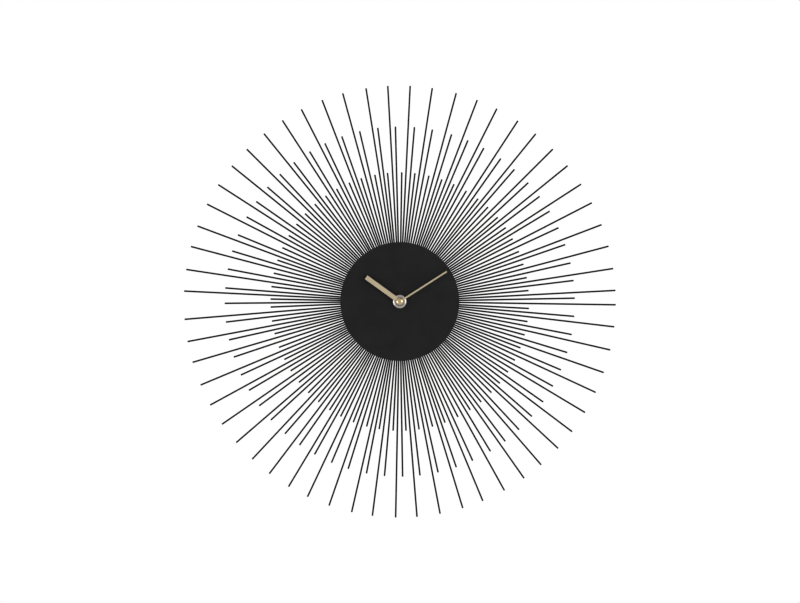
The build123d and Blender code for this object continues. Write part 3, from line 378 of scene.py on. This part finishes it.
def printed_sleeve():
    """The cell's shrink sleeve: a slate body, a pale band and a grey end towards the nub."""
    shader = Shader("printed_sleeve")
    ends = (low("battery", "x"), high("battery", "x"))
    place = shader.spread(shader.along("X"), 0, 1, source=ends)
    slate = (0.045, 0.075, 0.105)
    pale = (0.62, 0.63, 0.62)
    grey = (0.20, 0.22, 0.24)
    band_start = 0.68
    band_end = 0.71
    shader.colour(shader.ramp(
        place, (0.0, slate), (band_start, pale), (band_end, grey), interpolation="CONSTANT"
    ))
    shader.rough(shader.spread(shader.noise(250), 0.22, 0.36))
    shader.bump(shader.noise(160, detail=2.0), 0.04 * MM, 0.4)
    shader.set(Coat_Weight=0.4, Coat_Roughness=0.15)
    return shader.material


# ---------------------------------------------------------------- mesh helpers

def piece(name, mesh_data, body, material):
    """A finished piece: linked, riding on its body and material."""
    made = bpy.data.objects.new(name, mesh_data)
    bpy.context.scene.collection.objects.link(made)
    made.data.materials.append(material)
    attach(made, body)
    return made


def mesh_from(name, build, sharp=35):
    """A mesh that build(working) fills, outward, smooth but for edges over the sharp angle."""
    working = bmesh.new()
    build(working)
    bmesh.ops.remove_doubles(working, verts=working.verts, dist=SAME_PLACE)
    bmesh.ops.recalc_face_normals(working, faces=working.faces)
    data = bpy.data.meshes.new(name)
    working.to_mesh(data)
    working.free()
    data.polygons.foreach_set("use_smooth", [True] * len(data.polygons))
    data.set_sharp_from_angle(angle=radians(sharp))
    return data


def close_between(working, first, second):
    """Faces between two rings of points. A ring of one repeated point makes a fan."""
    count = len(first)
    for step in range(count):
        ahead = (step + 1) % count
        corners = [first[step], first[ahead], second[ahead], second[step]]
        unique = list(dict.fromkeys(corners))
        if len(unique) > 2:
            working.faces.new(unique)


def lathe(working, profile, centre, axis="y", segments=96):
    """Turns a closed (radius, place along the axis) outline about an axis through the centre."""
    rings = []
    for radius, along in profile:
        points = []
        for step in range(segments):
            turn = 2 * pi * step / segments
            if axis == "y":
                place = (centre.x + radius * cos(turn), along, centre.z + radius * sin(turn))
            else:
                place = (along, centre.y + radius * cos(turn), centre.z + radius * sin(turn))
            points.append(place)
        if radius == 0:
            rings.append([working.verts.new(points[0])] * segments)
        else:
            rings.append([working.verts.new(point) for point in points])
    for first, second in zip(rings, rings[1:] + rings[:1]):
        close_between(working, first, second)


def arc(radius, along, size, start, end, steps=12):
    """Points on an arc of a size about (radius, along), from start to end degrees."""
    return [
        (
            radius + size * cos(radians(start + (end - start) * step / steps)),
            along + size * sin(radians(start + (end - start) * step / steps)),
        )
        for step in range(steps + 1)
    ]


def slab(working, outline, near, far):
    """A flat raised shape from its (x, z) outline, between two y places."""
    near_ring = [working.verts.new((x, near, z)) for x, z in outline]
    far_ring = [working.verts.new((x, far, z)) for x, z in outline]
    working.faces.new(near_ring)
    working.faces.new(far_ring)
    close_between(working, near_ring, far_ring)


# ---------------------------------------------------------------- hub

def domed_cap(material):
    """The polished dome over the hands: a short skirt, an eased shoulder and a spherical top."""
    radius = round_radius("hand_cap")
    back = high("hand_cap", "y")
    front = low("hand_cap", "y")
    ease = 0.15 * MM
    skirt_height = 0.9 * MM
    skirt = back - skirt_height
    rise = skirt - front
    ball = (radius**2 + rise**2) / (2 * rise)
    edge = asin(radius / ball)
    steps = 28
    dome = []
    for step in range(steps + 1):
        slope = edge * (1 - step / steps)
        dome.append((ball * sin(slope), front + ball * (1 - cos(slope))))
    profile = [(0, back), (radius - ease, back), (radius, back - ease)] + dome
    data = mesh_from("domed_cap", lambda working: lathe(working, profile, AXIS, segments=128))
    made = piece("domed_cap", data, "minute_hand", material)
    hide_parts("hand_cap")


def rosette_ring(material):
    """The polished nut round the hands' pipes: a domed ring, a rounded groove and a boss."""
    outer = round_radius("rosette_nut")
    back = high("rosette_nut", "y")
    boss_front = low("rosette_nut", "y")
    skirt_height = 0.5 * MM
    crest_height = 2.6 * MM
    crest_r = 6.4 * MM
    skirt = back - skirt_height
    crest_front = back - crest_height
    width = outer - crest_r
    rise = skirt - crest_front
    size = (width**2 + rise**2) / (2 * rise)
    reach = 90 - asin(width / size) * 180 / pi
    groove_size = 0.45 * MM
    groove_r = crest_r - groove_size
    boss_r = groove_r - groove_size
    bore_r = 4.0 * MM
    ease = 0.25 * MM
    profile = [(bore_r, back), (outer - ease, back), (outer, back - ease)]
    profile += arc(crest_r, crest_front + size, size, -reach, -90, 32)
    profile += arc(groove_r, crest_front, groove_size, 0, 180, 12)
    profile += arc(boss_r - ease, boss_front + ease, ease, 0, -90, 6)
    profile += [(bore_r, boss_front)]
    data = mesh_from("rosette_ring", lambda working: lathe(working, profile, AXIS, segments=160))
    made = piece("rosette_ring", data, "clock_frame", material)
    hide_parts("rosette_nut")


# ---------------------------------------------------------------- behind the dial

def rod_welds(material):
    """A small bead in the corner between the plate's edge and each rod, under the powder coat.

    The beads are laid by hand, so they differ a little in size and stray to either side.
    """
    past_edge = 0.15 * MM
    reaches = (0.8 * MM, 1.15 * MM)
    half_widths = (1.15 * MM, 1.4 * MM)
    heights = (0.65 * MM, 0.9 * MM)
    stray = 0.2 * MM
    bead_r = round_radius("rod_plate") + past_edge
    corner = high("rods_long", "y")
    hand = random.Random(7)
    directions = rod_directions()

    def build(working):
        for direction in directions:
            outward = Vector((cos(direction), 0, sin(direction)))
            across = Vector((-sin(direction), 0, cos(direction)))
            wallward = Vector((0, 1, 0))
            reach = hand.uniform(*reaches)
            half_width = hand.uniform(*half_widths)
            height = hand.uniform(*heights)
            place = AXIS + outward * bead_r + wallward * corner
            place += across * hand.uniform(-stray, stray)
            shape = Matrix((outward * reach, wallward * height, across * half_width)).transposed()
            bmesh.ops.create_icosphere(
                working,
                subdivisions=2,
                radius=1,
                matrix=Matrix.Translation(place) @ shape.to_4x4(),
            )

    data = mesh_from("rod_welds", build, sharp=80)
    piece("rod_welds", data, "clock_frame", material)


def stud_places():
    """Centres of the dial's studs, each the middle of the corners that stand close together."""
    one_stud = 10 * MM
    studs = []
    for corner in frame["nodes"]["dial_studs"].data.vertices:
        flat = Vector((corner.co.x, 0, corner.co.z))
        near = [stud for stud in studs if (stud[0] - flat).length < one_stud]
        if near:
            near[0].append(flat)
        else:
            studs.append([flat])
    centres = []
    for stud in studs:
        xs = [point.x for point in stud]
        zs = [point.z for point in stud]
        centres.append(Vector(((min(xs) + max(xs)) / 2, 0, (min(zs) + max(zs)) / 2)))
    return centres


def threaded_studs(material):
    """M4 studs with a rolled thread over the nut's end and a chamfered tip."""
    radius = 1.97 * MM
    pitch = 0.7 * MM
    depth = 0.32 * MM
    tip_chamfer = 0.55 * MM
    thread_length = 6.0 * MM
    tip = high("dial_studs", "y")
    root = low("dial_studs", "y")
    segments = 32
    levels_per_turn = 8
    levels = int(thread_length / pitch * levels_per_turn)

    def spans(level):
        """Radius of the thread round one level, which dies out at the thread's end."""
        along = level * pitch / levels_per_turn
        fade = min(1, (thread_length - along) / pitch)
        for step in range(segments):
            phase = (level / levels_per_turn + step / segments) % 1
            span = radius - depth * abs(2 * phase - 1) * fade
            yield min(span, radius - tip_chamfer + along)

    def ring(working, centre, place, radii):
        """A ring of points about a stud's axis, with a radius for each."""
        points = []
        for step, span in enumerate(radii):
            turn = 2 * pi * step / segments
            point = (centre.x + span * cos(turn), place, centre.z + span * sin(turn))
            points.append(working.verts.new(point))
        return points

    def build(working):
        for centre in stud_places():
            rings = [[working.verts.new((centre.x, tip, centre.z))] * segments]
            for level in range(levels + 1):
                place = tip - level * pitch / levels_per_turn
                rings.append(ring(working, centre, place, spans(level)))
            for place in (tip - thread_length, root):
                rings.append(ring(working, centre, place, [radius] * segments))
            rings.append([working.verts.new((centre.x, root, centre.z))] * segments)
            for first, second in zip(rings, rings[1:]):
                close_between(working, first, second)

    data = mesh_from("threaded_studs", build)
    made = piece("threaded_studs", data, "clock_frame", material)
    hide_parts("dial_studs")


# ---------------------------------------------------------------- battery

def cell_sleeve(material):
    """The shrink sleeve, rolled in a little over both ends."""
    centre = middle("battery")
    radius = (high("battery", "z") - low("battery", "z")) / 2
    start = low("battery", "x")
    end = high("battery", "x") - CELL_NUB
    wall = 0.25 * MM
    roll = 0.7 * MM
    base_lip = 1.1 * MM
    base_lip_depth = 0.1 * MM
    cap_lip = 1.9 * MM
    profile = [(radius - base_lip, start + base_lip_depth)]
    profile += arc(radius - roll, start + roll, roll, -90, 0, 8)
    profile += arc(radius - roll, end - roll, roll, 0, 90, 8)
    profile += [(radius - cap_lip, end), (radius - cap_lip, end - wall)]
    profile += [(radius - roll, end - roll), (radius - roll, start + roll)]
    data = mesh_from("cell_sleeve", lambda working: lathe(working, profile, centre, axis="x"))
    made = piece("cell_sleeve", data, "battery", material)
    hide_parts("battery")


def cell_ends(material):
    """The can's flat base with its pressed ring, and the cap with its nub."""
    centre = middle("battery")
    start = low("battery", "x")
    tip = high("battery", "x")
    shoulder = tip - CELL_NUB

    # The base, from its middle out: a dished floor, the pressed ring and the edge
    floor_r = 3.9 * MM
    ring_inner_r = 4.3 * MM
    ring_outer_r = 5.5 * MM
    base_r = 6.2 * MM
    floor_depth = 0.2 * MM
    ring_depth = 0.02 * MM
    edge_depth = 0.35 * MM
    base_height = 1.2 * MM
    base = [
        (0, start + floor_depth),
        (floor_r, start + floor_depth),
        (ring_inner_r, start + ring_depth),
        (ring_outer_r, start + ring_depth),
        (base_r, start + edge_depth),
        (base_r, start + base_height),
        (0, start + base_height),
    ]

    # The cap: a flange under the washer, and the nub with its rounded edge
    flange_r = 4.2 * MM
    flange_low = shoulder - 1.0 * MM
    flange_high = shoulder - 0.2 * MM
    nub_r = 2.75 * MM
    nub_edge = 0.3 * MM
    cap = [(0, flange_low), (flange_r, flange_low), (flange_r, flange_high), (nub_r, flange_high)]
    cap += arc(nub_r - nub_edge, tip - nub_edge, nub_edge, 0, 90, 6)
    cap += [(0, tip)]

    def build(working):
        lathe(working, base, centre, axis="x")
        lathe(working, cap, centre, axis="x")

    data = mesh_from("cell_ends", build)
    piece("cell_ends", data, "battery", material)


def cell_washer(material):
    """The paper insulating washer round the nub."""
    centre = middle("battery")
    end = high("battery", "x") - CELL_NUB
    inner = 2.8 * MM
    outer = 5.6 * MM
    back = end - 0.25 * MM
    front = end - 0.05 * MM
    profile = [(inner, back), (outer, back), (outer, front), (inner, front)]
    data = mesh_from("cell_washer", lambda working: lathe(working, profile, centre, axis="x"))
    piece("cell_washer", data, "battery", material)


# ---------------------------------------------------------------- marks moulded on the case

def turn_arrow(start, end):
    """Outline of a bent arrow round the setting knob, from start to a later end in degrees."""
    inner = 6.5 * MM
    outer = 7.1 * MM
    head = 0.75 * MM
    head_length = 14
    neck = end - head_length
    steps = 14

    def at(radius, degrees):
        turn = radians(degrees)
        return (KNOB.x + radius * cos(turn), KNOB.z + radius * sin(turn))

    bend = [start + (neck - start) * step / steps for step in range(steps + 1)]
    outline = [at(outer, degrees) for degrees in bend]
    outline += [at(outer + head, neck), at((inner + outer) / 2, end), at(inner - head, neck)]
    outline += [at(inner, degrees) for degrees in reversed(bend)]
    return outline


def polarity_mark(x, z, plus):
    """Outline of a plus or a minus sign."""
    arm = 1.5 * MM
    half = 0.28 * MM
    if not plus:
        return [(x - arm, z - half), (x + arm, z - half), (x + arm, z + half), (x - arm, z + half)]
    outline = []
    for across, up in ((1, 1), (-1, 1), (-1, -1), (1, -1)):
        long_side = [(across * arm, up * half), (across * half, up * half), (across * half, up * arm)]
        if across * up < 0:
            long_side.reverse()
        outline += [(x + dx, z + dz) for dx, dz in long_side]
    return outline


def case_marks(material):
    """Raised marks on the case's back: arrows round the knob, the cell's poles and a border."""
    face = high("back_case", "y")
    rise = 0.22 * MM
    root = 0.1 * MM
    raised = face + rise
    sunk = face - root
    left = low("back_case", "x")
    right = high("back_case", "x")
    top = high("back_case", "z")
    mark_drop = 9.0 * MM
    mark_inset = 8.5 * MM
    mark_gap = 3.2 * MM
    border_inset = 5.8 * MM
    border_corner = 2.5 * MM
    rib = 0.5 * MM
    mark_z = AXIS.z - mark_drop
    bottom = mark_z + mark_gap

    def border(margin):
        """A rectangle with round corners, so far inside the border's outer line."""
        corner = border_corner - margin
        away = border_inset + border_corner
        outline = []
        outline += arc(right - away, top - away, corner, 0, 90, 6)
        outline += arc(left + away, top - away, corner, 90, 180, 6)
        outline += arc(left + away, bottom + border_corner, corner, 180, 270, 6)
        outline += arc(right - away, bottom + border_corner, corner, 270, 360, 6)
        return outline

    def build(working):
        slab(working, turn_arrow(35, 145), sunk, raised)
        slab(working, turn_arrow(-145, -35), sunk, raised)
        slab(working, polarity_mark(left + mark_inset, mark_z, plus=False), sunk, raised)
        slab(working, polarity_mark(right - mark_inset, mark_z, plus=True), sunk, raised)
        edges = ((border(0), sunk), (border(0), raised), (border(rib), raised), (border(rib), sunk))
        rings = [[working.verts.new((x, y, z)) for x, z in outline] for outline, y in edges]
        for first, second in zip(rings, rings[1:] + rings[:1]):
            close_between(working, first, second)

    data = mesh_from("case_marks", build)
    piece("case_marks", data, "clock_frame", material)


# ---------------------------------------------------------------- finishes of the CAD nodes

def finishes():
    """Every material by its slot, put on the CAD nodes. Returns the table of materials."""
    hands = ("hour_hand", "minute_hand")
    by_slot = {
        "black_powder_coat": powder_coat(),
        "dial_black": dial_lacquer(),
        "zinc_plate": zinc_plate(),
        "polished_gold": turned("polished_gold", POLISHED_GOLD, 0.17),
        "polished_nickel": turned("polished_nickel", POLISHED_NICKEL, 0.26),
        "black_rubber": rubber(),
        "case_plastic": moulded("case_plastic", CASE_BLACK, 0.5),
        "natural_plastic": moulded("natural_plastic", (0.74, 0.73, 0.68), 0.42),
        "gear_plastic": moulded("gear_plastic", (0.82, 0.80, 0.73), 0.3, texture=0.2),
        "board_laminate": laminate(),
        "chip_resin": moulded("chip_resin", (0.01, 0.01, 0.01), 0.25, texture=0.2),
        "soft_iron": sheet_metal("soft_iron", (0.42, 0.42, 0.43), 0.38),
        "enamelled_copper": copper_winding(),
        "magnet": sheet_metal("magnet", (0.12, 0.12, 0.13), 0.5),
        "spring_contact": sheet_metal("spring_contact", (0.66, 0.65, 0.62), 0.25),
        "crystal_can": drawn_can(),
        "cell_sleeve": printed_sleeve(),
    }
    slot_of = {row["node"]: row["material_slot"] for row in frame["record"]["subparts"]}
    for name, node in frame["nodes"].items():
        if name in hands:
            material = brushed_gold(f"brushed_{name}", pointing(name))
        else:
            material = by_slot[slot_of[name]]
        node.data.materials.clear()
        node.data.materials.append(material)
    return by_slot


# ---------------------------------------------------------------- studio

def floor():
    """A plain pale round floor, well below the clock."""
    bpy.ops.mesh.primitive_circle_add(
        vertices=96, radius=FLOOR_RADIUS, fill_type="NGON", location=(0, 0, AXIS.z - FLOOR_DROP)
    )
    made = bpy.context.object
    made.name = "floor"
    shader = Shader("floor_paint")
    shader.colour(shader.ramp(shader.noise(3), (0.3, (0.70,) * 3), (0.7, (0.74,) * 3)))
    shader.set(Roughness=0.9)
    made.data.materials.append(shader.material)


def soft_box(name, azimuth, lift, size, power):
    """A soft box aimed at the hub, so many degrees round from the lens, and lifted above the hub."""
    light = bpy.data.lights.new(name, "AREA")
    light.shape = "RECTANGLE"
    light.size, light.size_y = size
    light.energy = power
    made = bpy.data.objects.new(name, light)
    turn = radians(azimuth)
    aside = LIGHT_DISTANCE * sin(turn)
    forward = LIGHT_DISTANCE * cos(turn)
    made.location = AXIS + Vector((aside, -forward, lift))
    made.rotation_euler = (AXIS - made.location).to_track_quat("-Z", "Y").to_euler()
    made.visible_camera = False
    bpy.context.scene.collection.objects.link(made)


def lights():
    """Two broad soft boxes left and right of the lens and two behind the clock."""
    soft_box("left_box", -68, -0.35, (2.2, 2.0), 20)
    soft_box("right_box", 54, 0.35, (2.2, 2.0), 18)
    soft_box("back_left_box", -140, 0.9, (1.3, 1.3), 35)
    soft_box("back_right_box", 135, 0.9, (1.3, 1.3), 35)


def surroundings():
    """White behind the object for the lens, a grey studio in reflections, a contrasty print."""
    world = bpy.data.worlds.new("studio")
    bpy.context.scene.world = world
    world.use_nodes = True
    tree = world.node_tree
    tree.nodes.clear()
    output = tree.nodes.new("ShaderNodeOutputWorld")
    choice = tree.nodes.new("ShaderNodeMixShader")
    rays = tree.nodes.new("ShaderNodeLightPath")
    seen = tree.nodes.new("ShaderNodeBackground")
    seen.inputs["Color"].default_value = (*BACKDROP_WHITE, 1)
    glow = tree.nodes.new("ShaderNodeBackground")
    glow.inputs["Color"].default_value = (*STUDIO_GREY, 1)
    tree.links.new(rays.outputs["Is Camera Ray"], choice.inputs["Fac"])
    tree.links.new(glow.outputs["Background"], choice.inputs[1])
    tree.links.new(seen.outputs["Background"], choice.inputs[2])
    tree.links.new(choice.outputs["Shader"], output.inputs["Surface"])
    view = bpy.context.scene.view_settings
    view.view_transform = "Standard"
    view.gamma = PRINT_GAMMA


def camera():
    """A long lens, square to the dial, with the hands' axis at the middle of the picture."""
    width = 2 * round_radius("rods_long") / PICTURE_SHARE
    lens = bpy.data.cameras.new("camera")
    lens.sensor_width = SENSOR
    lens.lens = SENSOR * CAMERA_DISTANCE / width
    made = bpy.data.objects.new("camera", lens)
    forward = middle("rods_long").y - CAMERA_DISTANCE
    made.location = (CAMERA_ASIDE, forward, AXIS.z + CAMERA_ABOVE)
    made.rotation_euler = (pi / 2, 0, 0)
    bpy.context.scene.collection.objects.link(made)
    bpy.context.scene.camera = made


camera()
lights()
surroundings()
floor()
materials = finishes()
domed_cap(materials["polished_gold"])
rosette_ring(materials["polished_nickel"])
rod_welds(materials["black_powder_coat"])
threaded_studs(materials["zinc_plate"])
cell_sleeve(materials["cell_sleeve"])
cell_ends(materials["spring_contact"])
cell_washer(materials["natural_plastic"])
case_marks(materials["case_plastic"])
